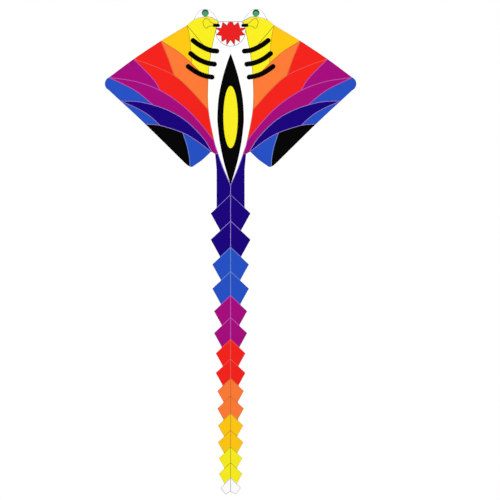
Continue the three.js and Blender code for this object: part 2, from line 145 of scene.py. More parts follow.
# corners that several panels share
NOSE_CORNER = (0.092, 0.0)
DOME_CORNER = (0.278, -0.008)
HEAD_CORNER = (0.327, 0.033)
AMBER_CORNER = (0.521, 0.152)
RED_CORNER = (0.724, 0.290)
SPAR_CORNER = (0.907, 0.4285)
TRAILING_CORNER = (0.820, 0.605)
BLACK_CORNER = (0.636, 0.7765)
TAIL_CORNER = (0.147, 0.979)
NAVY_TIP = (0.138, 0.982)
TAIL_SHOULDER = (0.116, 0.996)
BODY_TIP = (0.0, 1.231)

TIP_CENTRE = (0.884, 0.476)
TIP_RADIUS = 0.053
TIP_ANGLES = (-64, 62)
FOOT_CENTRE = (0.294, 1.066)
FOOT_RADIUS = 0.027
FOOT_ANGLES = (68, 133)

# tail
TAIL_ROOT_HALF = 0.105
TAIL_ROOT_FLARE_END = 1.110
TAIL_TOP = 1.300
TAIL_HALF_WIDTHS = (0.149, 0.137, 0.124, 0.111, 0.099, 0.095, 0.088, 0.077)
TAIL_COLOURS = ("navy", "blue", "magenta", "red", "orange", "amber", "yellow", "white")
TAIL_PANELS = 15
TAIL_PITCH = 1.324  # these four are shares of a panel's half width
TAIL_SLOPE = 0.94
TAIL_WAIST = 0.52
TAIL_END_SLOPE = 0.5
TAIL_BEND_LENGTH = 0.050
TAIL_CURL = 0.004  # how far the sides of a tail panel lean back

# rods and fittings
SPINE_RADIUS = 0.004
SPINE_BACK = 0.0065
SPAR_RADIUS = 0.0025
SPAR_BACK = 0.005
SPAR_INSET = (-0.005, 0.0075)
SPAR_START = (0.215, -0.038)
CLIP_AT = 0.955
CLIP_GAP = 0.024
FITTING_GAP = 0.030
SPINE_SLEEVE_RADIUS = 0.00565
SLEEVE_TOP = 0.006
SLEEVE_END = 1.222
POCKET_LENGTH = 0.045
POCKET_RADIUS = 0.0066
POCKET_LAP = 0.002  # how far a pocket passes the end of the sleeve
ROD_SIDES = 24
ROD_CHAMFER = 0.25  # as a share of the rod's radius
SPINE_STATIONS = 12
SPREADER_STATIONS = 40
SPINE_SLEEVE_SIDES = 20
SLEEVE_WAVES = ((0.0002, 150), (0.00015, 67))  # height and radians to a metre
SLEEVE_COLOURS = ("white", "amber", "red", "magenta")
SLEEVE_STITCH_ACROSS = 0.0155
SLEEVE_STITCH_BACK = 0.0009
SLEEVE_INSIDE = 0.8  # how far in the inner face is, as a share of the cloth
SLEEVE_SECTION = (  # across from the spar's middle, and height behind the sail's front
    (-0.0088, 0.0006), (-0.0062, 0.0042), (-0.0036, 0.0076), (0.0, 0.0087), (0.0036, 0.0078),
    (0.0075, 0.0050), (0.0120, 0.0022), (0.0180, 0.0008),
)
TIP_PATCH = (  # along the leading edge from the spar's corner, and in from the edge
    (-0.050, 0.001), (0.0, 0.001), (0.022, 0.020), (0.010, 0.044), (-0.050, 0.030),
)
EDGE_BREAK = 0.0004
FINE_EDGE_BREAK = 0.0003
SHARP_EDGE = math.radians(40)
FLAT_EDGE = math.radians(1)
SAME_POINT = 1e-6

# keel
KEEL_TOP = 0.260
KEEL_FOOT = 0.905
KEEL_INNER = 0.0125
KEEL_TIP_RADIUS = 0.017
KEEL_SLOT_HALF = 0.026
KEEL_SLOT_BACK = 0.042
KEEL_PATCH = 0.060
EYELET_HOLE = 0.0068
EYELET_SIDES = 64
EYELET_PROFILE = (  # the radius, and the distance to the side of the keel's middle
    (0.0050, 0.0009), (0.0053, 0.0014), (0.0062, 0.0016), (0.0080, 0.00155), (0.0094, 0.0013),
    (0.0100, 0.0009), (0.0063, 0.0008),
)
KEEL_SLOT_LEVEL = sum(corner.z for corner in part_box("centre_fitting")) / 2
KEEL_SLOT_HEM = 0.7 * HEM_WIDTH
KEEL_PATCH_INSET = 0.002
KEEL_PATCH_SPREAD = 8  # degrees between the patch's far corners and the keel's edges

# the decorations on each wing, as cut from the pattern
GILL_WIDTH = 0.037
GILLS = [
    ((0.281, 0.1465), (0.240, 0.1775), (0.195, 0.2025), (0.150, 0.219), (0.103, 0.2245)),
    ((0.299, 0.2450), (0.255, 0.279), (0.210, 0.3025), (0.165, 0.317), (0.121, 0.3225)),
    ((0.317, 0.3425), (0.270, 0.376), (0.225, 0.3995), (0.180, 0.414), (0.139, 0.420)),
]
NOSTRIL = ((0.131, 0.030), (0.110, 0.031), (0.092, 0.032))
NOSTRIL_WIDTH = 0.024
SPINDLE = (
    (0, 0.241), (0.025, 0.309), (0.059, 0.422), (0.089, 0.570), (0.099, 0.714), (0.094, 0.804),
    (0.078, 0.924), (0.048, 1.065), (0, 1.229),
)
CORE_DOWN = 0.718
CORE_HALF = (0.054, 0.233)
CORE_STEPS = 44
EYE_CENTRE = (0.190, -0.061)
EYE_RADIUS = 0.026
EYE_LIGHT_DROP = 0.006  # the light disc sits low, so a dark crescent shows over it
EYE_LIGHT_RADIUS = 0.021
MOUTH_CENTRE = (0, 0.076)
MOUTH_RADIUS = 0.110
MOUTH_STAR = (  # tip, valley, tip ... of the right half
    (0, 0.004), (0.011, 0.002), (0.027, 0.031), (0.058, 0.007), (0.070, 0.051), (0.114, 0.052),
    (0.082, 0.073), (0.106, 0.103), (0.068, 0.108), (0.067, 0.154), (0.033, 0.133),
    (0.029, 0.178), (0, 0.138),
)
BROW_INNER = (0.100, 0.012)
BROW_OUTER = (0.211, -0.030)  # on the top edge of the head
BROW = ((0.189, -0.023), (0.169, -0.014), (0.147, 0.008), (0.128, 0.016))
CHEEK = (
    (0.189, -0.023), (0.207, 0.008), (0.196, 0.043), (0.181, 0.055), (0.166, 0.040), (0.132, 0.035),
)
HEAD_LINE = (HEAD_CORNER, (0.207, 0.176), (0.151, 0.243))

# stage and camera
FLOOR_RADIUS = 3.6
FLOOR_SIDES = 96
FLOOR_DROP = 0.6  # below the tail
LIGHTS = (  # name, place, size and watts
    ("key", (-5.0, -8.5, 2.2), 4.0, 230),
    ("fill", (5.5, -8.0, -2.0), 4.0, 110),
    ("rim", (2.0, 6.0, 1.5), 3.0, 110),
)
VIEW_WIDTH = 3.75
VIEW_CENTRE_DOWN = 1.715
VIEW_Z = NOSE_Z - VIEW_CENTRE_DOWN
VIEW_SHIFT = 0.0388
LENS = 190
SENSOR = 36

COLOURS = {  # sRGB, 0 to 255
    "yellow": (246, 235, 31),
    "amber": (252, 197, 16),
    "orange": (249, 121, 53),
    "red": (239, 33, 26),
    "magenta": (162, 8, 122),
    "blue": (36, 79, 192),
    "navy": (23, 0, 121),
    "black": (0, 0, 0),
    "white": (255, 255, 255),
    "brow": (244, 230, 58),
    "eye_green": (71, 156, 105),
    "eye_dark": (18, 58, 43),
    "mouth": (229, 31, 31),
    "patch": (22, 22, 24),
}
STUDIO_LIGHT = 1.16  # how bright the lights make a white card that faces them
THREADS = {  # a paler tint of the dark cloths, and a darker shade of the light ones
    "white": (62, 62, 64),
    "yellow": (90, 86, 46),
    "amber": (112, 100, 60),
    "orange": (150, 96, 56),
    "red": (214, 120, 108),
    "magenta": (206, 120, 220),
    "blue": (152, 170, 208),
    "navy": (200, 166, 250),
    "black": (160, 156, 176),
    "mouth": (96, 40, 40),
}
HEM_SHADE = 0.82  # the hems are sewn with thread of the cloth's own colour, a shade darker
SLOTS = {
    "brow": "amber_cloth",
    "mouth": "red_cloth",
}

# ---------------------------------------------------------------- numbers


def smoothstep(value, low, high):
    share = min(max((value - low) / (high - low), 0.0), 1.0)
    return share * share * (3 - 2 * share)


def linear(colour):
    """The linear numbers that a shader takes for an sRGB colour seen in the studio's light."""
    shares = [channel / 255 for channel in colour]
    curved = [s / 12.92 if s <= 0.04045 else ((s + 0.055) / 1.055) ** 2.4 for s in shares]
    return (*[channel / STUDIO_LIGHT for channel in curved], 1.0)


def darker(shade, share):
    return (*[channel * share for channel in shade[:3]], 1.0)


def turns(count):
    """Evenly spaced angles round a whole turn."""
    return [2 * math.pi * step / count for step in range(count)]


# ---------------------------------------------------------------- materials


def add_node(tree, kind, inputs=(), **settings):
    """Adds a shader node. Each of its inputs is a number, a colour or another node's output."""
    new = tree.nodes.new("ShaderNode" + kind)
    for setting, value in settings.items():
        setattr(new, setting, value)
    for socket, value in dict(inputs).items():
        if isinstance(value, bpy.types.NodeSocket):
            tree.links.new(value, new.inputs[socket])
        else:
            new.inputs[socket].default_value = value
    return new


def math_node(tree, operation, *values):
    return add_node(tree, "Math", enumerate(values), operation=operation).outputs[0]


def mix_colours(tree, factor, first, second):
    mix = add_node(tree, "Mix", {0: factor, 6: first, 7: second}, data_type="RGBA")
    return mix.outputs[2]


def map_range(tree, value, source, target=(1.0, 0.0)):
    """Carries a value from one range to another, and holds it at the ends."""
    numbers = {0: value, 1: source[0], 2: source[1], 3: target[0], 4: target[1]}
    return add_node(tree, "MapRange", numbers).outputs[0]


def noise_texture(tree, place, scale, detail=2.0):
    return add_node(tree, "TexNoise", {"Vector": place, "Scale": scale, "Detail": detail}).outputs[0]


def new_material(name, **numbers):
    """A material whose Principled shader has these numbers, which are the same all over."""
    material = bpy.data.materials.new(name)
    material.use_nodes = True
    shader = material.node_tree.nodes["Principled BSDF"]
    for socket, value in numbers.items():
        shader.inputs[socket.replace("_", " ")].default_value = value
    return material, material.node_tree, shader


def finish_material(tree, shader, colour, height, distance, roughness=None):
    bump = add_node(tree, "Bump", {"Height": height, "Distance": distance, "Strength": 1.0})
    tree.links.new(bump.outputs[0], shader.inputs["Normal"])
    tree.links.new(colour, shader.inputs["Base Color"])
    if roughness is not None:
        tree.links.new(roughness, shader.inputs["Roughness"])


def pattern_axes(tree):
    """The two pattern coordinates of a piece of cloth, in metres."""
    uv = add_node(tree, "UVMap", uv_map="pattern").outputs[0]
    axes = add_node(tree, "SeparateXYZ", {0: uv})
    return uv, axes.outputs[0], axes.outputs[1]


def grid_lines(tree, axis, pitch, width):
    """1 on evenly spaced lines across an axis, falling to 0 beside them."""
    distance = math_node(tree, "PINGPONG", axis, pitch / 2)
    return map_range(tree, distance, (0.0, width))


def crossed_lines(tree, axes, way, pitch, width):
    return math_node(tree, way, *(grid_lines(tree, axis, pitch, width) for axis in axes))


def ripstop(tree, colour):
    """Thin nylon: a fine weave with a grid of thicker threads. Returns its colour and height."""
    uv, across, along = pattern_axes(tree)
    grid = crossed_lines(tree, (across, along), "MAXIMUM", RIPSTOP_PITCH, RIPSTOP_THREAD)
    weave = crossed_lines(tree, (across, along), "MULTIPLY", WEAVE_PITCH, WEAVE_PITCH / 2)
    blotch = noise_texture(tree, uv, BLOTCH_SCALE, detail=4.0)
    crease = noise_texture(tree, uv, CREASE_SCALE, detail=3.0)
    base = linear(colour)
    dark = darker(base, DARK_CLOTH)
    mottled = mix_colours(tree, math_node(tree, "MULTIPLY", blotch, BLOTCH_SHARE), base, dark)
    lined = mix_colours(tree, math_node(tree, "MULTIPLY", grid, GRID_SHARE), mottled, dark)
    height = math_node(tree, "MULTIPLY_ADD", weave, WEAVE_HEIGHT, grid)
    height = math_node(tree, "MULTIPLY_ADD", crease, CREASE_HEIGHT, height)
    return lined, height


made_materials = {}


def cloth_material(colour):
    name = f"{colour}_ripstop"
    if name not in made_materials:
        material, tree, shader = new_material(name, Roughness=0.55, Specular_IOR_Level=CLOTH_GLOSS)
        shade, height = ripstop(tree, COLOURS[colour])
        finish_material(tree, shader, shade, height, CLOTH_BUMP)
        made_materials[name] = material
    return made_materials[name]


def seam_material(colour, kind):
    """A folded edge of cloth with a zigzag of thread over it. A drawn line is sewn closer."""
    name = f"{colour}_{kind}"
    if name not in made_materials:
        thread = THREADS[colour]
        if kind == "hem" and colour != "white":
            thread = tuple(channel * HEM_SHADE for channel in COLOURS[colour])
        share = DRAWN_SHARE if kind == "drawn" else STITCH_SHARE
        material, tree, shader = new_material(name, Roughness=0.6, Specular_IOR_Level=CLOTH_GLOSS)
        uv, along, across = pattern_axes(tree)
        wave = math_node(tree, "PINGPONG", along, STITCH_PITCH / 2)
        zigzag = math_node(tree, "MULTIPLY_ADD", wave, 4 * STITCH_SWING / STITCH_PITCH, -STITCH_SWING)
        distance = math_node(tree, "ABSOLUTE", math_node(tree, "SUBTRACT", across, zigzag))
        stitch = map_range(tree, distance, (share - STITCH_EDGE, share + STITCH_EDGE))
        twist = noise_texture(tree, uv, TWIST_SCALE)
        yarn = linear(thread)
        twisted = mix_colours(tree, twist, yarn, darker(yarn, DARK_YARN))
        shade = mix_colours(tree, stitch, linear(COLOURS[colour]), twisted)
        finish_material(tree, shader, shade, stitch, STITCH_BUMP)
        made_materials[name] = material
    return made_materials[name]


def rod_material():
    """Pultruded fibreglass: dark resin with fine streaks along the rod."""
    material, tree, shader = new_material("fibreglass_rod", Roughness=0.3)
    uv = add_node(tree, "UVMap", uv_map="pattern").outputs[0]
    stretched = add_node(tree, "Mapping", {"Vector": uv, "Scale": STREAK_SCALE}).outputs[0]
    streak = noise_texture(tree, stretched, scale=1.0, detail=4.0)
    shade = mix_colours(tree, streak, linear((20, 20, 22)), linear((52, 52, 55)))
    rough = map_range(tree, streak, (0.0, 1.0), (0.25, 0.45))
    finish_material(tree, shader, shade, streak, distance=0.00005, roughness=rough)
    return material


def worn_material(name, shades, wear, grain, bump, rough, **numbers):
    """Wear and grain are each the scale and detail of a noise. Wear changes the colour between
    two shades, and how rough the surface is. Grain makes its bumps."""
    material, tree, shader = new_material(name, **numbers)
    place = add_node(tree, "TexCoord").outputs["Object"]
    worn = noise_texture(tree, place, *wear)
    shade = mix_colours(tree, worn, linear(shades[0]), linear(shades[1]))
    bumps = noise_texture(tree, place, *grain)
    finish_material(tree, shader, shade, bumps, bump, map_range(tree, worn, WORN_RANGE, rough))
    return material


def moulded_material():
    """Injection-moulded nylon: near black, with a fine spark-eroded grain and rubbed corners."""
    return worn_material("moulded_nylon", ((26, 26, 29), (46, 46, 50)), wear=(90.0, 5.0),
                         grain=(1800.0, 2.0), bump=0.00006, rough=(0.42, 0.62), Roughness=0.5)


def brass_material():
    """Stamped brass: finely brushed, and slightly duller where it has been handled."""
    return worn_material("brass", ((226, 190, 104), (206, 166, 84)), wear=(110.0, 3.0),
                         grain=(2600.0, 3.0), bump=0.00001, rough=(0.24, 0.38), Roughness=0.3,
                         Metallic=1.0)


def floor_material():
    """Matte painted plaster."""
    material, tree, shader = new_material("pale_floor", Roughness=0.9, Specular_IOR_Level=0.1)
    place = add_node(tree, "TexCoord").outputs["Object"]
    cloud = noise_texture(tree, place, scale=3.0, detail=5.0)
    shade = mix_colours(tree, cloud, linear((236, 236, 236)), linear((229, 229, 230)))
    finish_material(tree, shader, shade, cloud, distance=0.0005)
    return material


# ---------------------------------------------------------------- seams


def curve_point(start, leave, end, arrive, share):
    """A point of the cubic that leaves start and arrives at end with the given slopes."""
    square, cube = share ** 2, share ** 3
    return (
        start * (2 * cube - 3 * square + 1)
        + leave * (cube - 2 * square + share)
        + end * (3 * square - 2 * cube)
        + arrive * (cube - square)
    )


def seam(*knots):
    """A uniform Catmull-Rom curve: a list of points for each span from knot to knot."""
    knots = [Vector(knot) for knot in knots]
    spans = []
    for i in range(len(knots) - 1):
        start, end = knots[i], knots[i + 1]
        leave = (end - knots[max(i - 1, 0)]) / 2
        arrive = (knots[min(i + 2, len(knots) - 1)] - start) / 2
        count = max(1, round((end - start).length / STEP))
        spans.append([
            curve_point(start, leave, end, arrive, step / count) for step in range(count + 1)
        ])
    return spans


def stretch(line, first=0, last=None):
    """The points of a seam from one knot to another, in the order asked for."""
    last = len(line) if last is None else last
    spans = line[min(first, last):max(first, last)]
    points = [spans[0][0]] + [point for span in spans for point in span[1:]]
    return points if first < last else points[::-1]


def straight(*corners):
    """Straight lines from corner to corner, with points STEP apart."""
    return [point for a, b in zip(corners, corners[1:]) for point in stretch(seam(a, b))]


def arc(centre, radius, angles):
    first, last = (math.radians(angle) for angle in angles)
    count = max(8, round(abs(last - first) * radius / ARC_STEP))
    return [
        Vector(centre) + radius * Vector((math.cos(turn), math.sin(turn)))
        for turn in (first + (last - first) * step / count for step in range(count + 1))
    ]


def outline_of(*stretches):
    """Joins stretches end to end into a closed outline, without the points that they share."""
    points = [point for line in stretches for point in line]
    return [p for i, p in enumerate(points) if (p - points[i - 1]).length > WELD]


LEADING_EDGE = seam(HEAD_CORNER, AMBER_CORNER, RED_CORNER, SPAR_CORNER)
TIP_ARC = arc(TIP_CENTRE, TIP_RADIUS, TIP_ANGLES)
BLUE_FOOT = arc(FOOT_CENTRE, FOOT_RADIUS, FOOT_ANGLES)
BLACK_FOOT = stretch(seam((0.346, 1.061), (0.320, 1.083), BLUE_FOOT[0]))
TRAILING_EDGE = seam(TIP_ARC[-1], TRAILING_CORNER, BLACK_CORNER, BLACK_FOOT[0])
FOOT_EDGE = seam(BLUE_FOOT[-1], (0.211, 1.040), TAIL_CORNER)
HEAD_TOP = seam(NOSE_CORNER, (0.150, -0.0305), (0.211, -0.030), DOME_CORNER, HEAD_CORNER)
DOME_TOP = seam(
    NOSE_CORNER, (0.120, -0.047), (0.157, -0.083), (0.200, -0.090), (0.241, -0.071), DOME_CORNER,
)

# the side of the white body, from the nose to the tip that lies on the tail
BODY_SEAM = seam(
    NOSE_CORNER, (0.1105, 0.061), (0.149, 0.249), (0.1695, 0.444), (0.168, 0.663), (0.1255, 0.893),
    (0.096, 0.990), (0.059, 1.094), BODY_TIP,
)
SHOULDER_SEAM = seam((0.096, 0.990), TAIL_SHOULDER)

# the seams that fan out from the corners of the leading and trailing edges
AMBER_SEAM = seam(HEAD_CORNER, (0.3065, 0.130), (0.291, 0.321))
ORANGE_TOP = seam(AMBER_CORNER, (0.396, 0.2295), (0.291, 0.321), (0.1695, 0.444))
RED_OUTER_SIDE = seam(AMBER_CORNER, (0.467, 0.278), (0.420, 0.412))
RED_TOP = seam(RED_CORNER, (0.590, 0.3345), (0.420, 0.412), (0.301, 0.515), (0.168, 0.663))
MAGENTA_OUTER_SIDE = seam(RED_CORNER, (0.610, 0.404), (0.5625, 0.4605), (0.5285, 0.523))
MAGENTA_TOP = seam(
    SPAR_CORNER, (0.709, 0.458), (0.5285, 0.523), (0.364, 0.6315), (0.243, 0.750), (0.1255, 0.893),
)
BLUE_TIP_SIDE = seam(SPAR_CORNER, (0.715, 0.523), (0.5755, 0.634))
NAVY_TOP = seam(
    TRAILING_CORNER, (0.700, 0.608), (0.5755, 0.634), (0.451, 0.680), (0.3295, 0.7535),
    (0.209, 0.8735), NAVY_TIP,
)
NAVY_SIDE = seam(TRAILING_CORNER, (0.6955, 0.659), (0.604, 0.7145), (0.526, 0.7855))
NAVY_FOOT = seam(BLACK_CORNER, (0.526, 0.7855), (0.3575, 0.839), (0.245, 0.904), TAIL_CORNER)
BLACK_SIDE = seam((0.3575, 0.839), (0.325, 0.9375), (0.307, 1.0295), BLUE_FOOT[0])

WING_PANELS = [
    ("eye_dome", "white", stretch(DOME_TOP), stretch(HEAD_TOP, 3, 0)),
    ("head_panel", "yellow", stretch(HEAD_TOP), stretch(AMBER_SEAM), stretch(ORANGE_TOP, 2, 3),
     stretch(BODY_SEAM, 3, 0)),
    ("amber_panel", "amber", stretch(LEADING_EDGE, 0, 1), stretch(ORANGE_TOP, 0, 2),
     stretch(AMBER_SEAM, 2, 0)),
    ("orange_panel", "orange", stretch(RED_OUTER_SIDE), stretch(RED_TOP, 2, 4),
     stretch(BODY_SEAM, 4, 3), stretch(ORANGE_TOP, 3, 0)),
    ("red_outer_panel", "red", stretch(LEADING_EDGE, 1, 2), stretch(RED_TOP, 0, 2),
     stretch(RED_OUTER_SIDE, 2, 0)),
    ("red_band", "red", stretch(MAGENTA_OUTER_SIDE), stretch(MAGENTA_TOP, 2, 5),
     stretch(BODY_SEAM, 5, 4), stretch(RED_TOP, 4, 0)),
    ("magenta_outer_panel", "magenta", stretch(LEADING_EDGE, 2, 3), stretch(MAGENTA_TOP, 0, 2),
     stretch(MAGENTA_OUTER_SIDE, 3, 0)),
    ("magenta_band", "magenta", stretch(BLUE_TIP_SIDE), stretch(NAVY_TOP, 2, 6),
     stretch(SHOULDER_SEAM, 1, 0), stretch(BODY_SEAM, 6, 5), stretch(MAGENTA_TOP, 5, 0)),
    ("blue_tip_panel", "blue", TIP_ARC, stretch(TRAILING_EDGE, 0, 1), stretch(NAVY_TOP, 0, 2),
     stretch(BLUE_TIP_SIDE, 2, 0)),
    ("navy_band", "navy", stretch(NAVY_SIDE), stretch(NAVY_FOOT, 1, 4), stretch(NAVY_TOP, 6, 0)),
    ("blue_middle_panel", "blue", stretch(TRAILING_EDGE, 1, 2), stretch(NAVY_FOOT, 0, 1),
     stretch(NAVY_SIDE, 3, 0)),
    ("black_panel", "black", stretch(TRAILING_EDGE, 2, 3), BLACK_FOOT, stretch(BLACK_SIDE, 3, 0),
     stretch(NAVY_FOOT, 2, 0)),
    ("blue_corner_panel", "blue", stretch(BLACK_SIDE), BLUE_FOOT, stretch(FOOT_EDGE),
     stretch(NAVY_FOOT, 4, 2)),
    ("body_panel", "white", straight((0, 0), NOSE_CORNER), stretch(BODY_SEAM),
     straight(BODY_TIP, (0, 0))),
]

# every seam of a wing: the cloth that is folded over it, and its line
WING_SEAMS = [
    ("white", stretch(HEAD_TOP, 0, 3)),
    ("yellow", stretch(BODY_SEAM, 0, 3)),
    ("orange", stretch(BODY_SEAM, 3, 4)),
    ("red", stretch(BODY_SEAM, 4, 5)),
    ("magenta", stretch(BODY_SEAM, 5, 6)),
    ("magenta", stretch(SHOULDER_SEAM)),
    ("amber", stretch(AMBER_SEAM)),
    ("orange", stretch(ORANGE_TOP)),
    ("orange", stretch(RED_OUTER_SIDE)),
    ("red", stretch(RED_TOP, 0, 2)),
    ("orange", stretch(RED_TOP, 2, 4)),
    ("magenta", stretch(MAGENTA_OUTER_SIDE)),
    ("magenta", stretch(MAGENTA_TOP)),
    ("magenta", stretch(BLUE_TIP_SIDE)),
    ("navy", stretch(NAVY_TOP)),
    ("navy", stretch(NAVY_SIDE)),
    ("navy", stretch(NAVY_FOOT)),
    ("blue", stretch(BLACK_SIDE)),
]
# every free edge of a wing. The cloth lies to the right of the line.
WING_HEMS = [
    ("white", straight((2 * CENTRE_GAP, 0), NOSE_CORNER)),
    ("white", stretch(DOME_TOP)),
    ("yellow", stretch(HEAD_TOP, 3, 4)),
    ("amber", stretch(LEADING_EDGE, 0, 1)),
    ("red", stretch(LEADING_EDGE, 1, 2)),
    ("magenta", stretch(LEADING_EDGE, 2, 3)),
    ("blue", TIP_ARC),
    ("blue", stretch(TRAILING_EDGE, 0, 2)),
    ("black", stretch(TRAILING_EDGE, 2, 3)),
    ("black", BLACK_FOOT),
    ("blue", BLUE_FOOT + stretch(FOOT_EDGE)[1:]),
    ("navy", straight(TAIL_CORNER, NAVY_TIP)),
    ("magenta", straight(NAVY_TIP, TAIL_SHOULDER)),
]

# ---------------------------------------------------------------- the sail's surface


def ripple(out, down, from_edge):
    """Slight waves in the cloth, still at the spine and along the leading edge."""
    along = (out * math.cos(RIPPLE_TURN) + down * math.sin(RIPPLE_TURN)) / RIPPLE_LENGTH
    across = (down * math.cos(RIPPLE_TURN) - out * math.sin(RIPPLE_TURN)) / RIPPLE_WIDTH
    wave = noise.noise(Vector((along, across, 0.0)))
    still = smoothstep(out, 0, RIPPLE_FADE) * smoothstep(from_edge, 0, RIPPLE_FADE)
    return RIPPLE_HEIGHT * wave * still


def sail_front(out, down):
    """The front face of the cloth at a place on the pattern, as a Y coordinate."""
    out = abs(out)
    lean = (math.hypot(out, DIHEDRAL_ROUND) - DIHEDRAL_ROUND) * math.tan(DIHEDRAL)
    edge_turn = math.atan2(SPAR_CORNER[1] - HEAD_CORNER[1], SPAR_CORNER[0] - HEAD_CORNER[0])
    edge_down = HEAD_CORNER[1] + (out - HEAD_CORNER[0]) * math.tan(edge_turn)
    from_edge = (down - edge_down) * math.cos(edge_turn)
    fill = smoothstep(out, 0, BILLOW_FROM_SPINE) * smoothstep(from_edge, 0, BILLOW_FROM_EDGE)
    hollow = lean + BILLOW * fill + ripple(out, down, from_edge)
    return SAIL_Y - hollow * (1 - smoothstep(down, FLAT_FROM, FLAT_BY))


def tail_back(out, down):
    """How far the sides of the tail lean back, where the sail's hollow has faded out."""
    return TAIL_CURL * smoothstep(down, FLAT_FROM, FLAT_BY) * (out / TAIL_ROOT_HALF) ** 2


def on_sail(point, back=0.0):
    out, down = point
    return Vector((out, sail_front(out, down) + tail_back(out, down) + back, NOSE_Z - down))


def on_keel(point, back=0.0):
    """A place on the keel, which is drawn with (back, up) points from the eyelet."""
    return Vector((back, point[0], point[1]))


# ---------------------------------------------------------------- meshes


def new_mesh():
    """An empty bmesh whose faces can be given places on the cloth's pattern."""
    mesh = bmesh.new()
    mesh.loops.layers.uv.new("pattern")
    return mesh


def new_object(name, mesh, materials, mirror=False):
    """Makes a smooth-shaded object from a bmesh, and frees the bmesh."""
    if mirror:
        bmesh.ops.scale(mesh, vec=(-1, 1, 1), verts=mesh.verts)
    bmesh.ops.recalc_face_normals(mesh, faces=mesh.faces)
    for face in mesh.faces:
        face.smooth = True
    data = bpy.data.meshes.new(name)
    mesh.to_mesh(data)
    mesh.free()
    for material in materials:
        data.materials.append(material)
    piece = bpy.data.objects.new(name, data)
    bpy.context.scene.collection.objects.link(piece)
    return piece


def sharpen(faces):
    for face in faces:
        for edge in face.edges:
            edge.smooth = False


def join_rings(mesh, rings, pattern_place, index=0):
    """Joins each ring of points to the next one. pattern_place gives a point's place on the
    pattern from its ring's number and its own, which goes one past the last to close the ring."""
    uv = mesh.loops.layers.uv["pattern"]
    faces = []
    for i, (here, there) in enumerate(zip(rings, rings[1:])):
        for j in range(len(here)):
            k = (j + 1) % len(here)
            face = mesh.faces.new((here[j], here[k], there[k], there[j]))
            face.material_index = index
            for loop, corner in zip(face.loops, ((i, j), (i, j + 1), (i + 1, j + 1), (i + 1, j))):
                loop[uv].uv = pattern_place(*corner)
            faces.append(face)
    return faces


def close_ends(mesh, rings, index=0):
    ends = [mesh.faces.new(ring) for ring in (rings[0], rings[-1])]
    for face in ends:
        face.material_index = index
    return ends


def tangents(line):
    """The way that a line goes at each of its points."""
    ends = zip(line[:1] + line[:-1], line[1:] + line[-1:])
    return [(after - before).normalized() for before, after in ends]


def distances_along(line):
    """How far each point of a line is from its start."""
    return np.cumsum([0.0] + [(b - a).length for a, b in zip(line, line[1:])]).tolist()


def sweep(mesh, line, section, place):
    """Rings of points along a line on the pattern. A section's points are (inward, back)."""
    rings = []
    for point, way in zip(line, tangents(line)):
        inward = Vector((-way.y, way.x))
        rings.append([mesh.verts.new(place(point + inward * across, back)) for across, back in section])
    return rings


def is_inside(points, ring):
    """Which points are inside a ring of corners. Both are arrays of pattern coordinates."""
    after = np.roll(ring, -1, axis=0)
    rise = np.where(after[:, 1] == ring[:, 1], 1.0, after[:, 1] - ring[:, 1])
    level = points[:, None, 1]
    spans_level = (ring[:, 1] > level) != (after[:, 1] > level)
    crossing = ring[:, 0] + (level - ring[:, 1]) * (after - ring)[:, 0] / rise
    return (spans_level & (points[:, None, 0] < crossing)).sum(1) % 2 == 1


def distance_to(points, ring):
    """How far each point is from the nearest side of a ring."""
    along = np.roll(ring, -1, axis=0) - ring
    share = ((points[:, None] - ring) * along).sum(2) / (along ** 2).sum(1)
    nearest = ring + along * np.clip(share, 0, 1)[:, :, None]
    return np.linalg.norm(points[:, None] - nearest, axis=2).min(1)


def grid_inside(rings, spacing):
    """Points of a triangular grid inside the first ring, outside the others, clear of them all."""
    low, high = rings[0].min(0), rings[0].max(0)
    grid = []
    for row, level in enumerate(np.arange(low[1], high[1], spacing * math.sqrt(3) / 2)):
        shift = spacing / 2 * (row % 2)
        grid += [(out, level) for out in np.arange(low[0] + shift, high[0], spacing)]
    grid = np.array(grid).reshape(-1, 2)
    keep = is_inside(grid, rings[0])
    for ring in rings[1:]:
        keep &= ~is_inside(grid, ring)
    for ring in rings:
        keep &= distance_to(grid, ring) > spacing * CLEAR_OF_EDGE
    return [Vector(point) for point in grid[keep]]


def fill_outline(outline, holes=(), spacing=GRID):
    """The points and triangles that fill an outline on the pattern, apart from its holes."""
    rings = [np.array([tuple(point) for point in ring]) for ring in (outline, *holes)]
    points = [Vector(point) for ring in rings for point in ring]
    edges = []
    start = 0
    for ring in rings:
        edges += [(start + i, start + (i + 1) % len(ring)) for i in range(len(ring))]
        start += len(ring)
    border = list(range(len(outline)))
    points += grid_inside(rings, spacing)
    corners, _, faces, *_ = geometry.delaunay_2d_cdt(
        points, edges, [border], ONLY_INSIDE, SAME_PLACE,
    )
    middles = np.array([tuple(sum((corners[i] for i in face), Vector((0, 0))) / 3) for face in faces])
    in_hole = np.zeros(len(faces), bool)
    for ring in rings[1:]:
        in_hole |= is_inside(middles, ring)
    return corners, [face for face, cut in zip(faces, in_hole) if not cut]


def sheet_mesh(points, triangles, place, front, thickness):
    """A closed thin sheet: a front and a back face of the same triangles, and a rim."""
    mesh = new_mesh()
    uv = mesh.loops.layers.uv["pattern"]
    layers = [[mesh.verts.new(place(p, back)) for p in points] for back in (front, front + thickness)]
    for layer, order in zip(layers, (1, -1)):
        for triangle in triangles:
            face = mesh.faces.new([layer[i] for i in triangle[::order]])
            for loop, i in zip(face.loops, triangle[::order]):
                loop[uv].uv = points[i]
    sides = [pair for t in triangles for pair in ((t[0], t[1]), (t[1], t[2]), (t[2], t[0]))]
    used = Counter(frozenset(pair) for pair in sides)
    for a, b in sides:
        if used[frozenset((a, b))] == 1:
            face = mesh.faces.new((layers[0][b], layers[0][a], layers[1][a], layers[1][b]))
            for loop, i in zip(face.loops, (b, a, a, b)):
                loop[uv].uv = points[i]
            sharpen([face])
    return mesh


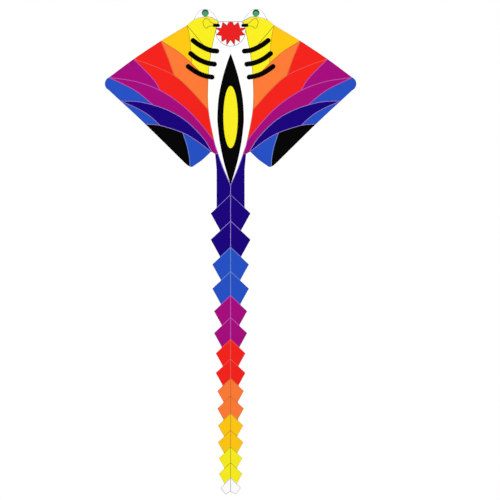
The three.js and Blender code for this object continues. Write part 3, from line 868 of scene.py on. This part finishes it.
def flat_area(outline):
    return abs(sum(a.cross(b) for a, b in zip(outline, outline[1:] + outline[:1]))) / 2


def flat_size(outline):
    """Width and length of the smallest rectangle that an outline can be cut from."""
    ring = np.array([tuple(point) for point in outline])
    best = None
    for degrees in range(0, 90, TURN_STEP):
        turn = math.radians(degrees)
        turned = ring @ np.array([[math.cos(turn), -math.sin(turn)], [math.sin(turn), math.cos(turn)]])
        size = np.ptp(turned, axis=0)
        if best is None or size[0] * size[1] < best[0] * best[1]:
            best = size
    return float(min(best)), float(max(best))


def cut_cloth(name, outline, colour, place=on_sail, front=0.0, mirror=False,
              holes=(), spacing=GRID):
    """A piece of ripstop, cut to an outline and laid on a surface."""
    points, triangles = fill_outline(outline, holes, spacing)
    mesh = sheet_mesh(points, triangles, place, front, CLOTH)
    piece = new_object(name, mesh, [cloth_material(colour)], mirror)
    SLOTS.get(colour, f"{colour}_cloth")
    flat_size(outline)
    flat_area(outline)
    return piece


def add_ribbon(mesh, line, width, index, place=on_sail, shift=0.0, front=0.0, both_faces=True):
    """Adds a folded, sewn strip of cloth along a line, on one or both faces of the sail."""
    uv = mesh.loops.layers.uv["pattern"]
    line = [p for i, p in enumerate(line) if i == 0 or (p - line[i - 1]).length > WELD]
    back = front + (CLOTH if both_faces else CLOTH / 4)
    back_crown = SEAM_CROWN if both_faces else 0.0
    section = [(share, front - SEAM_CROWN * height) for share, height in RIBBON_SECTION]
    section += [(share, back + back_crown * height) for share, height in RIBBON_SECTION[::-1]]
    rings = sweep(mesh, line, [(shift + share * width / 2, y) for share, y in section], place)
    along = distances_along(line)
    strip = join_rings(mesh, rings, lambda i, j: (along[i], section[j % len(section)][0]), index)
    for loop in (loop for face in strip for loop in face.loops):
        if abs(loop[uv].uv.y) == 1.0:
            loop.edge.smooth = False
    close_ends(mesh, rings, index)


def sewn_lines(name, lines, mirror=False, drawn=False, **ribbon):
    """One object for many sewn lines: each is a colour, a line, a width and a shift.

    A drawn line is a decoration. Of the others, a shifted line is sewn like a hem, in the
    cloth's own colour, and a line with no shift like a seam.
    """
    mesh = new_mesh()
    kinds = [
        (colour, "drawn" if drawn else "hem" if shift else "seam") for colour, _, _, shift in lines
    ]
    materials = sorted(set(kinds))
    for kind, (_, line, width, shift) in zip(kinds, lines):
        add_ribbon(mesh, line, width, materials.index(kind), shift=shift, **ribbon)
    piece = new_object(name, mesh, [seam_material(*kind) for kind in materials], mirror)
    return piece


def tube_mesh(path, radius):
    """A round bar along a path of points, with its ends chamfered."""
    mesh = new_mesh()
    chamfer = radius * ROD_CHAMFER
    start = path[0] + (path[1] - path[0]).normalized() * chamfer
    end = path[-1] + (path[-2] - path[-1]).normalized() * chamfer
    stations = [path[0], start, *path[1:-1], end, path[-1]]
    reaches = [radius - chamfer, *([radius] * len(path)), radius - chamfer]
    rings = []
    for point, reach, way in zip(stations, reaches, tangents(stations)):
        side = way.cross(Vector((0, 1, 0))).normalized()
        up = side.cross(way)
        rings.append([
            mesh.verts.new(point + reach * (side * math.cos(turn) + up * math.sin(turn)))
            for turn in turns(ROD_SIDES)
        ])
    along = distances_along(stations)
    join_rings(mesh, rings, lambda i, j: (j / ROD_SIDES * 2 * math.pi * radius, along[i]))
    sharpen(close_ends(mesh, rings))
    return mesh


# ---------------------------------------------------------------- wings


def wings():
    """Each side's name, whether it is mirrored, and its body."""
    return (("left", True, "left_wing"), ("right", False, "right_wing"))


def make_wing_cloth():
    for side, mirror, body in wings():
        for name, colour, *stretches in WING_PANELS:
            node = f"{side}_{name}"
            piece = cut_cloth(f"{node}_cloth", outline_of(*stretches), colour, mirror=mirror)
            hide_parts(node)
            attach(piece, body)
        lines = [(colour, line, SEAM_WIDTH, 0.0) for colour, line in WING_SEAMS]
        lines += [(colour, line, HEM_WIDTH, HEM_WIDTH / 2) for colour, line in WING_HEMS]
        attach(sewn_lines(f"{side}_seams", lines, mirror), body)


def round_cap(centre, way, radius):
    turn = math.degrees(math.atan2(way.y, way.x))
    return arc(centre, radius, (turn + 90, turn - 90))


def stripe(knots, width, round_start=True):
    """The outline of a stripe of even width along a smooth line. Its far end is round."""
    line = stretch(seam(*knots))
    ways = tangents(line)
    half = width / 2
    over, under = [
        [p + Vector((-t.y, t.x)) * reach for p, t in zip(line, ways)] for reach in (half, -half)
    ]
    start_cap = round_cap(line[0], -ways[0], half) if round_start else []
    return outline_of(over, round_cap(line[-1], ways[-1], half), under[::-1], start_cap)


def disc(centre, radius):
    return arc(centre, radius, (0, 360))[:-1]


def core_outline():
    """The right half of the yellow ellipse in the spindle."""
    half_width, half_height = CORE_HALF
    curve = [
        Vector((half_width * math.sin(turn), CORE_DOWN - half_height * math.cos(turn)))
        for turn in np.linspace(0, math.pi, CORE_STEPS + 1)
    ]
    return outline_of(curve, straight(curve[-1], curve[0]))


def mouth_outline():
    """The right half of the white mouth, cut off straight along the nose."""
    rise = math.degrees(math.asin(MOUTH_CENTRE[1] / MOUTH_RADIUS))
    rim = arc(MOUTH_CENTRE, MOUTH_RADIUS, (-rise, 90))
    return rim, outline_of(straight((0, 0), rim[0]), rim, straight(rim[-1], (0, 0)))


def decoration_shapes(mouth):
    """Each piece of applied cloth: its name, its colour, its outline and its layer."""
    spindle = stretch(seam(*SPINDLE))
    eye_light = Vector(EYE_CENTRE) + Vector((0, EYE_LIGHT_DROP))
    brow = outline_of(stretch(seam(*BROW)), straight(BROW[-1], BROW_INNER, NOSE_CORNER),
                      stretch(HEAD_TOP, 0, 2), straight(BROW_OUTER, BROW[0]))
    shapes = [
        ("mouth_ground", "white", mouth, 1),
        ("mouth_star", "mouth", outline_of(straight(*MOUTH_STAR, MOUTH_STAR[0])), 2),
        ("spindle", "black", outline_of(spindle, straight(spindle[-1], spindle[0])), 1),
        ("spindle_core", "yellow", core_outline(), 2),
        ("nostril", "black", stripe(NOSTRIL, NOSTRIL_WIDTH, round_start=False), 3),
        ("eye_dark", "eye_dark", disc(EYE_CENTRE, EYE_RADIUS), 1),
        ("eye_light", "eye_green", disc(eye_light, EYE_LIGHT_RADIUS), 2),
        ("brow_patch", "brow", brow, 1),
    ]
    return shapes + [
        (f"gill_{number}", "black", stripe(knots, GILL_WIDTH), 2)
        for number, knots in enumerate(GILLS, 1)
    ]


def make_decorations():
    rim, mouth = mouth_outline()
    drawn = [("yellow", stretch(seam(*knots)), DRAWN_WIDTH, 0) for knots in (BROW, CHEEK, HEAD_LINE)]
    drawn += [("white", line, DRAWN_WIDTH, 0) for line in (rim, stretch(HEAD_TOP, 0, 2))]
    toothed = [
        ("mouth", straight(*MOUTH_STAR), STAR_LINE_WIDTH, 0),
        ("white", straight((CENTRE_GAP, 0), rim[0]), DRAWN_WIDTH, DRAWN_WIDTH / 2),
    ]
    shapes = decoration_shapes(mouth)
    for side, mirror, body in wings():
        for name, colour, outline, layer in shapes:
            piece = cut_cloth(f"{side}_{name}", outline, colour, front=-LAYER * layer, mirror=mirror,
                              spacing=FINE_GRID)
            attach(piece, body)
        for name, lines, layers in (("mouth_edge", toothed, 2), ("drawn_lines", drawn, 1)):
            piece = sewn_lines(f"{side}_{name}", lines, mirror, drawn=True,
                               front=-layers * LAYER, both_faces=False)
            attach(piece, body)


# ---------------------------------------------------------------- tail


def mirrored(line):
    return [Vector((-point.x, point.y)) for point in line[::-1]]


def tail_panels():
    """Each tail panel's number, colour, apex, half width and the slope of its foot."""
    apex = TAIL_TOP
    for number in range(1, TAIL_PANELS + 1):
        pair = (number - 1) // 2
        half = TAIL_HALF_WIDTHS[pair]
        slope = TAIL_SLOPE if number < TAIL_PANELS else TAIL_END_SLOPE
        yield number, TAIL_COLOURS[pair], apex, half, slope
        apex += TAIL_PITCH * half


def make_tail_root():
    """Each half hangs from its wing's trailing edge, and turns into line with the spine."""
    foot = TAIL_TOP + TAIL_SLOPE * TAIL_ROOT_HALF
    side_edge = straight((TAIL_ROOT_HALF, TAIL_ROOT_FLARE_END), (TAIL_ROOT_HALF, foot))
    flare = straight(TAIL_SHOULDER, (TAIL_ROOT_HALF, TAIL_ROOT_FLARE_END))
    notch = stretch(BODY_SEAM, 8, 6)
    outline = outline_of(notch, stretch(SHOULDER_SEAM), flare, side_edge,
                         straight((TAIL_ROOT_HALF, foot), (0, TAIL_TOP)),
                         straight((0, TAIL_TOP), BODY_TIP))
    seams = [
        ("navy", notch, SEAM_WIDTH, 0.0),
        ("navy", flare + side_edge, HEM_WIDTH, HEM_WIDTH / 2),
        ("navy", straight((TAIL_ROOT_HALF, foot), (0, TAIL_TOP)), SEAM_WIDTH, 0.0),
    ]
    centre = [("navy", straight(BODY_TIP, (0, TAIL_TOP)), TAIL_SEAM_WIDTH, 0.0)]
    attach(sewn_lines("tail_root_centre_seam", centre), "spine")
    start = on_sail(BODY_TIP)
    end = on_sail((0, TAIL_TOP))
    for side, mirror, body in wings():
        piece = cut_cloth(f"{side}_tail_root_cloth", outline, "navy", mirror=mirror)
        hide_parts("tail_root")
        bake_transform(piece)
        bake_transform(sewn_lines(f"{side}_tail_root_seams", seams, mirror))


def make_tail():
    above_waist = TAIL_ROOT_HALF
    hinge_down = TAIL_TOP + TAIL_SLOPE * TAIL_ROOT_HALF
    for number, colour, apex, half, slope in tail_panels():
        waist = TAIL_WAIST * half
        following = apex + TAIL_PITCH * half
        top = straight((0, apex), (half, apex + TAIL_SLOPE * half))
        side = straight(top[-1], (waist, following + slope * waist))
        foot = straight(side[-1], (0, following))
        outline = outline_of(top, side, foot, mirrored(foot), mirrored(side), mirrored(top))
        start = on_sail((0, hinge_down))
        end = on_sail((0, hinge_down + TAIL_BEND_LENGTH))
        piece = cut_cloth(f"tail_panel_{number:02d}_cloth", outline, colour)
        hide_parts(f"tail_panel_{number:02d}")
        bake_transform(piece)
        joined = [point for point in top if point.x <= above_waist + STEP / 2]
        free = [point for point in top if point.x >= above_waist - STEP / 2] + side[1:]
        lines = [(colour, straight((0, apex), (0, following)), TAIL_SEAM_WIDTH, 0.0)]
        for edge, width, shift in ((joined, SEAM_WIDTH, 0.0), (free, HEM_WIDTH, HEM_WIDTH / 2)):
            lines.append((colour, edge, width, shift))
            lines.append((colour, mirrored(edge), width, shift))
        if number == TAIL_PANELS:
            lines.append((colour, foot + mirrored(foot)[1:], HEM_WIDTH, HEM_WIDTH / 2))
        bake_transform(sewn_lines(f"tail_seams_{number:02d}", lines))
        above_waist = waist
        hinge_down = following + slope * waist


# ---------------------------------------------------------------- rods and sleeves


def centripetal_slopes(before, start, end, after):
    """How a centripetal curve leaves start and arrives at end, between its four knots."""
    first, middle, last = (
        math.sqrt((b - a).length) for a, b in ((before, start), (start, end), (end, after))
    )
    direct = (end - start) / middle
    leave = (start - before) / first - (end - before) / (first + middle) + direct
    arrive = direct - (after - start) / (middle + last) + (after - end) / last
    return leave * middle, arrive * middle


def spar_path():
    """The middle of the right spar, as points STEP apart: a centripetal curve, as in the CAD."""
    knots = [
        on_sail((out + SPAR_INSET[0], down + SPAR_INSET[1]), SPAR_BACK)
        for out, down in (SPAR_START, HEAD_CORNER, AMBER_CORNER, RED_CORNER, SPAR_CORNER)
    ]
    knots = [2 * knots[0] - knots[1]] + knots + [2 * knots[-1] - knots[-2]]
    path = []
    for before, start, end, after in zip(knots, knots[1:], knots[2:], knots[3:]):
        leave, arrive = centripetal_slopes(before, start, end, after)
        count = round((end - start).length / STEP)
        path += [curve_point(start, leave, end, arrive, step / count) for step in range(count)]
    return path + [knots[-2]]


def sleeve_mesh(line):
    """The turned-back edge of the sail, wrapped behind the spar. line is the spar's middle."""
    mesh = new_mesh()
    inner = [(across, height - CLOTH * SLEEVE_INSIDE) for across, height in SLEEVE_SECTION[::-1]]
    section = [(across, max(height, 0.0)) for across, height in (*SLEEVE_SECTION, *inner)]
    rings = sweep(mesh, line, section, on_sail)
    along = distances_along(line)
    join_rings(mesh, rings, lambda i, j: (section[j % len(section)][0], along[i]))
    close_ends(mesh, rings)
    return mesh


def make_rod(name, node, body, path, radius, mirror=False):
    rod = new_object(name, tube_mesh(path, radius), [FINISHES["rod"]], mirror)
    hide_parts(node)
    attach(rod, body)


def sleeve_lines(path):
    """Each sleeve's colour, and its part of the spar's middle as points on the pattern."""
    lengths = distances_along(path)
    end = CLIP_AT * lengths[-1] - CLIP_GAP
    limits = (SPAR_START[0] + STEP, HEAD_CORNER[0], AMBER_CORNER[0], RED_CORNER[0], SPAR_CORNER[0])
    for colour, low, high in zip(SLEEVE_COLOURS, limits, limits[1:]):
        low, high = low + SPAR_INSET[0] - STEP / 2, high + SPAR_INSET[0] + STEP / 2
        yield colour, [
            Vector((point.x, NOSE_Z - point.z)) for point, along in zip(path, lengths)
            if low <= point.x <= high and along < end
        ]


def make_spars():
    path = spar_path()
    for side, mirror, body in wings():
        make_rod(f"{side}_spar_rod", f"{side}_spar", body, path, SPAR_RADIUS, mirror)
        for colour, line in sleeve_lines(path):
            sleeve = new_object(f"{side}_sleeve_{colour}", sleeve_mesh(line),
                                [cloth_material(colour)], mirror)
            distances_along(line)[-1]
            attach(sleeve, body)
            stitches = [(colour, line, DRAWN_WIDTH, SLEEVE_STITCH_ACROSS)]
            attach(sewn_lines(f"{side}_sleeve_stitch_{colour}", stitches, mirror,
                               front=SLEEVE_STITCH_BACK), body)


def make_tip_patches():
    """A pocket at each wing tip takes the end of the spar."""
    corner = Vector(SPAR_CORNER)
    along = (Vector(SPAR_CORNER) - Vector(RED_CORNER)).normalized()
    inward = Vector((-along.y, along.x))
    corners = [corner + along * far + inward * deep for far, deep in (*TIP_PATCH, TIP_PATCH[0])]
    outline = outline_of(straight(*corners))
    for side, mirror, body in wings():
        piece = cut_cloth(f"{side}_tip_patch", outline, "patch", front=CLOTH + LAYER, mirror=mirror)
        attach(piece, body)


def spine_at(down):
    return Vector((0, SAIL_Y + SPINE_BACK, NOSE_Z - down))


def make_spine():
    for name in ("upper", "lower"):
        low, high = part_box(f"spine_{name}_rod")
        path = [spine_at(NOSE_Z - level) for level in np.linspace(high.z, low.z, SPINE_STATIONS)]
        make_rod(f"spine_{name}_tube", f"spine_{name}_rod", "spine", path, SPINE_RADIUS)
    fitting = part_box("centre_fitting")
    gap_top = NOSE_Z - fitting[1].z - FITTING_GAP / 2
    gap_foot = NOSE_Z - fitting[0].z + FITTING_GAP / 2
    pocket_top, pocket_foot = SLEEVE_TOP - POCKET_LAP, SLEEVE_END + POCKET_LAP
    for name, top, foot, radius, colour in (
        ("spine_sleeve_upper", SLEEVE_TOP, gap_top, SPINE_SLEEVE_RADIUS, "white"),
        ("spine_sleeve_lower", gap_foot, SLEEVE_END, SPINE_SLEEVE_RADIUS, "white"),
        ("nose_pocket", pocket_top, SLEEVE_TOP + POCKET_LENGTH, POCKET_RADIUS, "patch"),
        ("tail_pocket", SLEEVE_END - POCKET_LENGTH, pocket_foot, POCKET_RADIUS, "patch"),
    ):
        make_spine_sleeve(name, top, foot, radius, colour)


def make_spine_sleeve(name, top, foot, radius, colour):
    """A tube of cloth round the spine, just behind the sail."""
    mesh = new_mesh()
    count = max(2, round((foot - top) / STEP))
    downs = [top + (foot - top) * step / count for step in range(count + 1)]
    shells = []
    for inset in (0.0, CLOTH):
        rings = []
        for down in downs:
            wave = sum(height * math.sin(down * rate) for height, rate in SLEEVE_WAVES)
            reach = radius + wave - inset
            rings.append([
                mesh.verts.new(spine_at(down) + reach * Vector((math.sin(turn), math.cos(turn), 0)))
                for turn in turns(SPINE_SLEEVE_SIDES)
            ])
        side = 2 * math.pi * radius / SPINE_SLEEVE_SIDES
        join_rings(mesh, rings, lambda i, j: (j * side, downs[i] - top))
        shells.append(rings)
    outer, inner = shells
    for end in (0, -1):
        sharpen(join_rings(mesh, [outer[end], inner[end]], lambda i, j: (0.0, 0.0)))
    piece = new_object(name, mesh, [cloth_material(colour)])
    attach(piece, "spine")


def rounded_copy(node, finish, body, bevel):
    """The CAD node's own shape with its edges broken, as a moulded or turned part has."""
    mesh = bmesh.new()
    mesh.from_mesh(bpy.data.objects[node].data)
    bmesh.ops.remove_doubles(mesh, verts=mesh.verts, dist=SAME_POINT)
    bmesh.ops.dissolve_limit(mesh, angle_limit=FLAT_EDGE, verts=mesh.verts, edges=mesh.edges)
    for edge in mesh.edges:
        edge.smooth = not (edge.is_manifold and edge.calc_face_angle(0) > SHARP_EDGE)
    piece = new_object(f"{node}_finished", mesh, [FINISHES[finish]])
    edge_break = piece.modifiers.new("edge_break", "BEVEL")
    edge_break.width = bevel
    edge_break.segments = 2
    edge_break.angle_limit = SHARP_EDGE
    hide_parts(node)
    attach(piece, body)


def make_fittings():
    for side in ("left", "right"):
        rounded_copy(f"{side}_spreader_clip", "moulded", f"{side}_spreader", EDGE_BREAK)
        rounded_copy(f"{side}_spar_tip_cap", "moulded", f"{side}_wing", FINE_EDGE_BREAK)
    for node in ("centre_fitting", "nose_cap", "tail_cap"):
        rounded_copy(node, "moulded", "spine", EDGE_BREAK)
    rounded_copy("spine_ferrule", "brass", "spine", FINE_EDGE_BREAK)


def make_spreaders():
    """Each spreader is level, and leans forward from the spine to the wing tip."""
    low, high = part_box("right_spreader")
    radius = (high.z - low.z) / 2
    lean = math.atan2(high.y - low.y - 2 * radius, high.x - low.x)
    rim = radius * Vector((math.sin(lean), -math.cos(lean), 0))
    inner = Vector((low.x, high.y, low.z + radius)) + rim
    outer = Vector((high.x, low.y, low.z + radius)) - rim
    path = [inner.lerp(outer, share) for share in np.linspace(0, 1, SPREADER_STATIONS)]
    for side, mirror, _ in wings():
        make_rod(f"{side}_spreader_rod", f"{side}_spreader", f"{side}_spreader", path, radius, mirror)


def make_eyelet():
    """Two dished brass flanges on a barrel, turned about the X axis."""
    section = [*EYELET_PROFILE, *((radius, -side) for radius, side in EYELET_PROFILE[::-1])]
    mesh = bmesh.new()
    rings = []
    for turn in turns(EYELET_SIDES):
        rings.append([
            mesh.verts.new((side, radius * math.cos(turn), radius * math.sin(turn)))
            for radius, side in section
        ])
    for i in range(EYELET_SIDES):
        for j in range(len(section)):
            mesh.faces.new((rings[i - 1][j - 1], rings[i - 1][j], rings[i][j], rings[i][j - 1]))
    eyelet = new_object("tow_eyelet_brass", mesh, [FINISHES["brass"]])
    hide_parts("tow_eyelet")
    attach(eyelet, "keel")


# ---------------------------------------------------------------- keel


def keel_outline():
    inner = SAIL_Y + KEEL_INNER
    top = NOSE_Z - KEEL_TOP
    foot = NOSE_Z - KEEL_FOOT
    slot_low, slot_high = KEEL_SLOT_LEVEL - KEEL_SLOT_HALF, KEEL_SLOT_LEVEL + KEEL_SLOT_HALF
    slot_back = SAIL_Y + KEEL_SLOT_BACK
    upper_lean = math.degrees(math.atan2(-inner, top))
    lower_lean = math.degrees(math.atan2(-inner, -foot))
    tip = arc((0, 0), KEEL_TIP_RADIUS, (lower_lean - 90, 90 - upper_lean))
    lower = straight((inner, slot_low), (inner, foot), tip[0])
    upper = straight(tip[-1], (inner, top), (inner, slot_high))
    slot_corners = ((inner, slot_high), (slot_back, slot_high), (slot_back, slot_low), (inner, slot_low))
    slot = straight(*slot_corners)
    free_edge = straight((inner, foot), tip[0]) + tip[1:] + straight(tip[-1], (inner, top))[1:]
    return outline_of(lower, tip, upper, slot), free_edge, slot


def make_keel():
    outline, free_edge, slot = keel_outline()
    hole = disc((0, 0), EYELET_HOLE)
    piece = cut_cloth("keel_cloth", outline, "navy", place=on_keel, front=-CLOTH / 2,
                      holes=[hole])
    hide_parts("keel")
    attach(piece, "keel")
    lines = [
        ("navy", free_edge, HEM_WIDTH, HEM_WIDTH / 2),
        ("navy", slot, KEEL_SLOT_HEM, 0.0),
    ]
    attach(sewn_lines("keel_hems", lines, place=on_keel, front=-CLOTH / 2), "keel")
    for name, front in (("left", -CLOTH / 2 - CLOTH - LAYER / 2), ("right", CLOTH / 2 + LAYER / 2)):
        patch = cut_cloth(f"keel_patch_{name}", keel_patch_outline(), "patch", place=on_keel,
                          front=front, holes=[hole], spacing=PATCH_GRID)
        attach(patch, "keel")


def keel_patch_outline():
    """A reinforcing patch over the keel's tip, with a rounded inner edge."""
    inner = SAIL_Y + KEEL_INNER
    upper = Vector((inner, NOSE_Z - KEEL_TOP)).normalized()
    lower = Vector((inner, NOSE_Z - KEEL_FOOT)).normalized()
    upper_side = math.degrees(math.atan2(upper.y, upper.x))
    lower_side = math.degrees(math.atan2(lower.y, lower.x))
    tip = arc((0, 0), KEEL_TIP_RADIUS - KEEL_PATCH_INSET, (lower_side + 90, upper_side - 90))
    far_angles = (upper_side + KEEL_PATCH_SPREAD, lower_side + 360 - KEEL_PATCH_SPREAD)
    far = arc((0, 0), KEEL_PATCH, far_angles)
    return outline_of(tip, straight(tip[-1], far[0]), far, straight(far[-1], tip[0]))


# ---------------------------------------------------------------- stage


def make_floor():
    floor_mesh = bmesh.new()
    bmesh.ops.create_circle(floor_mesh, cap_ends=True, segments=FLOOR_SIDES, radius=FLOOR_RADIUS)
    floor = new_object("floor", floor_mesh, [floor_material()])
    floor.location = (0, SAIL_Y, CAD_BOX[0].z - FLOOR_DROP)
    floor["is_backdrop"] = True


def make_studio():
    world = bpy.data.worlds.new("studio")
    world.use_nodes = True
    background = world.node_tree.nodes["Background"]
    background.inputs["Color"].default_value = (1, 1, 1, 1)
    background.inputs["Strength"].default_value = 1.0
    bpy.context.scene.world = world
    bpy.context.scene.view_settings.view_transform = "Standard"

    for name, place, size, power in LIGHTS:
        light = bpy.data.lights.new(name, "AREA")
        light.energy = power
        light.size = size
        lamp = bpy.data.objects.new(name, light)
        lamp.location = place
        aim = Vector((0, SAIL_Y, VIEW_Z)) - Vector(place)
        lamp.rotation_euler = aim.to_track_quat("-Z", "Y").to_euler()
        bpy.context.scene.collection.objects.link(lamp)


def make_camera():
    data = bpy.data.cameras.new("camera")
    data.lens = LENS
    data.sensor_width = SENSOR
    data.shift_x = VIEW_SHIFT
    distance = LENS / SENSOR * VIEW_WIDTH
    data.clip_end = 4 * distance
    camera = bpy.data.objects.new("camera", data)
    camera.location = (0, SAIL_Y - distance, VIEW_Z)
    camera.rotation_euler = (math.pi / 2, 0, 0)  # level, and looking along +Y
    bpy.context.scene.collection.objects.link(camera)
    bpy.context.scene.camera = camera


FINISHES = {"rod": rod_material(), "moulded": moulded_material(), "brass": brass_material()}

make_camera()
make_wing_cloth()
make_decorations()
make_tail_root()
make_tail()
make_spars()
make_tip_patches()
make_spine()
make_fittings()
make_spreaders()
make_keel()
make_eyelet()
make_floor()
make_studio()

boxes = {"cad": CAD_BOX, "visual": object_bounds()}
{name: [list(corner) for corner in box] for name, box in boxes.items()}
